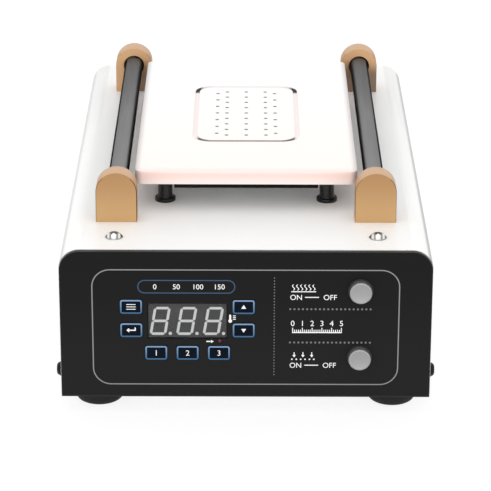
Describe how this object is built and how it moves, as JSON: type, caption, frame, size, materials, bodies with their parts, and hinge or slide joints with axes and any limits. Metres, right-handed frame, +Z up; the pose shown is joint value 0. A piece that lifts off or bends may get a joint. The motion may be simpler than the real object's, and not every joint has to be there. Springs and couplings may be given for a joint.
{
  "type": "screen separator",
  "caption": "Desk-top heated vacuum plate for separating screens: sheet case, front controls, rails on gold brackets over the plate, mains inlet behind.",
  "frame": {"origin": "middle of the object's footprint, on the surface that the four feet stand on", "axes": "+X to the right seen from the front, +Y from the front panel to the rear wall, +Z up"},
  "size_m": [0.1666, 0.2736, 0.0982],
  "materials": {
    "zinc_sheet": "zinc plated sheet",
    "white_enamel": "gloss white baked enamel",
    "black_panel": "black moulded sheet",
    "black_film": "satin printed film",
    "clear_window": "clear lens",
    "black_rubber": "moulded rubber",
    "zinc_screw": "zinc plated",
    "black_screw": "black oxide",
    "chrome_screw": "nickel plated",
    "gold_anodised": "gold anodised satin",
    "dark_rod": "dark satin rod",
    "white_plate": "warm white coating",
    "black_silicone": "silicone sheet",
    "black_sheet": "black painted sheet",
    "nozzle_metal": "turned",
    "black_phenolic": "moulded phenolic",
    "probe_metal": "plain",
    "clear_hose": "silicone hose",
    "red_wire": "wire insulation",
    "display_grey": "grey display face",
    "green_board": "solder mask",
    "switch_black": "moulded",
    "brass_spacer": "turned",
    "red_led": "unlit red lens",
    "silver_cap": "satin silver",
    "transformer_wrap": "taped winding",
    "heatsink_aluminium": "extruded",
    "green_terminal": "moulded",
    "motor_can": "drawn can",
    "pump_plastic": "moulded",
    "shaft_steel": "ground",
    "inlet_plastic": "moulded",
    "pin_metal": "nickel plated",
    "fuse_glass": "glass tube with metal caps",
    "blue_key": "embossed key face"
  },
  "bodies": {
    "case": {"base_tray": "white_enamel", "top_cover": "white_enamel", "front_panel": "black_panel", "front_film": "black_film", "display_window": "clear_window", "feet": "black_rubber", "small_screws": "zinc_screw", "side_screws": "black_screw", "top_screws": "chrome_screw", "front_left_bracket": "gold_anodised", "front_right_bracket": "gold_anodised", "rear_left_bracket": "gold_anodised", "rear_right_bracket": "gold_anodised", "left_rail": "dark_rod", "right_rail": "dark_rod", "bracket_screws": "zinc_screw", "heating_plate": "white_plate", "heater_mat": "black_silicone", "heater_clamp": "black_sheet", "clamp_screws": "zinc_screw", "vacuum_nozzle": "nozzle_metal", "plate_posts": "black_phenolic", "post_screws": "zinc_screw", "temperature_probe": "probe_metal", "vacuum_hose": "clear_hose", "cover_grommets": "black_rubber", "plate_leads": "red_wire", "display_module": "display_grey", "control_board": "green_board", "tact_switches": "switch_black", "board_spacers": "brass_spacer", "indicator_led": "red_led", "push_switches": "switch_black", "switch_nuts": "zinc_screw", "panel_nuts": "zinc_screw", "power_board": "green_board", "transformer": "transformer_wrap", "triac_heatsink": "heatsink_aluminium", "terminal_block": "green_terminal", "pump_motor": "motor_can", "pump_housing": "pump_plastic", "pump_head": "pump_plastic", "pump_bracket": "zinc_sheet", "power_inlet": "inlet_plastic", "inlet_pins": "pin_metal", "case_wiring": "red_wire"},
    "heating_button": {"heating_button": "silver_cap"},
    "vacuum_button": {"vacuum_button": "silver_cap"},
    "set_key": {"set_key": "blue_key"},
    "enter_key": {"enter_key": "blue_key"},
    "up_key": {"up_key": "blue_key"},
    "down_key": {"down_key": "blue_key"},
    "channel_1_key": {"channel_1_key": "blue_key"},
    "channel_2_key": {"channel_2_key": "blue_key"},
    "channel_3_key": {"channel_3_key": "blue_key"},
    "pump_rotor": {"pump_rotor": "shaft_steel"},
    "pump_rod": {"pump_rod": "pump_plastic"},
    "fuse_drawer": {"fuse_drawer": "inlet_plastic", "fuse": "fuse_glass"}
  },
  "joints": [
    {"name": "heating_button_press", "type": "slide", "parent": "case", "child": "heating_button", "axis": [0, 1, 0], "range_m": [0, 0.0025], "stiffness_N_per_m": 600},
    {"name": "vacuum_button_press", "type": "slide", "parent": "case", "child": "vacuum_button", "axis": [0, 1, 0], "range_m": [0, 0.0025], "stiffness_N_per_m": 600},
    {"name": "set_key_press", "type": "slide", "parent": "case", "child": "set_key", "axis": [0, 1, 0], "range_m": [0, 0.00035], "stiffness_N_per_m": 2000},
    {"name": "enter_key_press", "type": "slide", "parent": "case", "child": "enter_key", "axis": [0, 1, 0], "range_m": [0, 0.00035], "stiffness_N_per_m": 2000},
    {"name": "up_key_press", "type": "slide", "parent": "case", "child": "up_key", "axis": [0, 1, 0], "range_m": [0, 0.00035], "stiffness_N_per_m": 2000},
    {"name": "down_key_press", "type": "slide", "parent": "case", "child": "down_key", "axis": [0, 1, 0], "range_m": [0, 0.00035], "stiffness_N_per_m": 2000},
    {"name": "channel_1_key_press", "type": "slide", "parent": "case", "child": "channel_1_key", "axis": [0, 1, 0], "range_m": [0, 0.00035], "stiffness_N_per_m": 2000},
    {"name": "channel_2_key_press", "type": "slide", "parent": "case", "child": "channel_2_key", "axis": [0, 1, 0], "range_m": [0, 0.00035], "stiffness_N_per_m": 2000},
    {"name": "channel_3_key_press", "type": "slide", "parent": "case", "child": "channel_3_key", "axis": [0, 1, 0], "range_m": [0, 0.00035], "stiffness_N_per_m": 2000},
    {"name": "pump_spin", "type": "hinge", "parent": "case", "child": "pump_rotor", "pos_m": [0.044, -0.0347, 0.0252], "axis": [0, 1, 0], "continuous": true},
    {"name": "pump_stroke", "type": "slide", "parent": "case", "child": "pump_rod", "axis": [0, 0, 1], "range_m": [-0.0012, 0.0012], "stiffness_N_per_m": 800},
    {"name": "fuse_drawer_slide", "type": "slide", "parent": "case", "child": "fuse_drawer", "axis": [0, 1, 0], "range_m": [0, 0.018]}
  ]
}
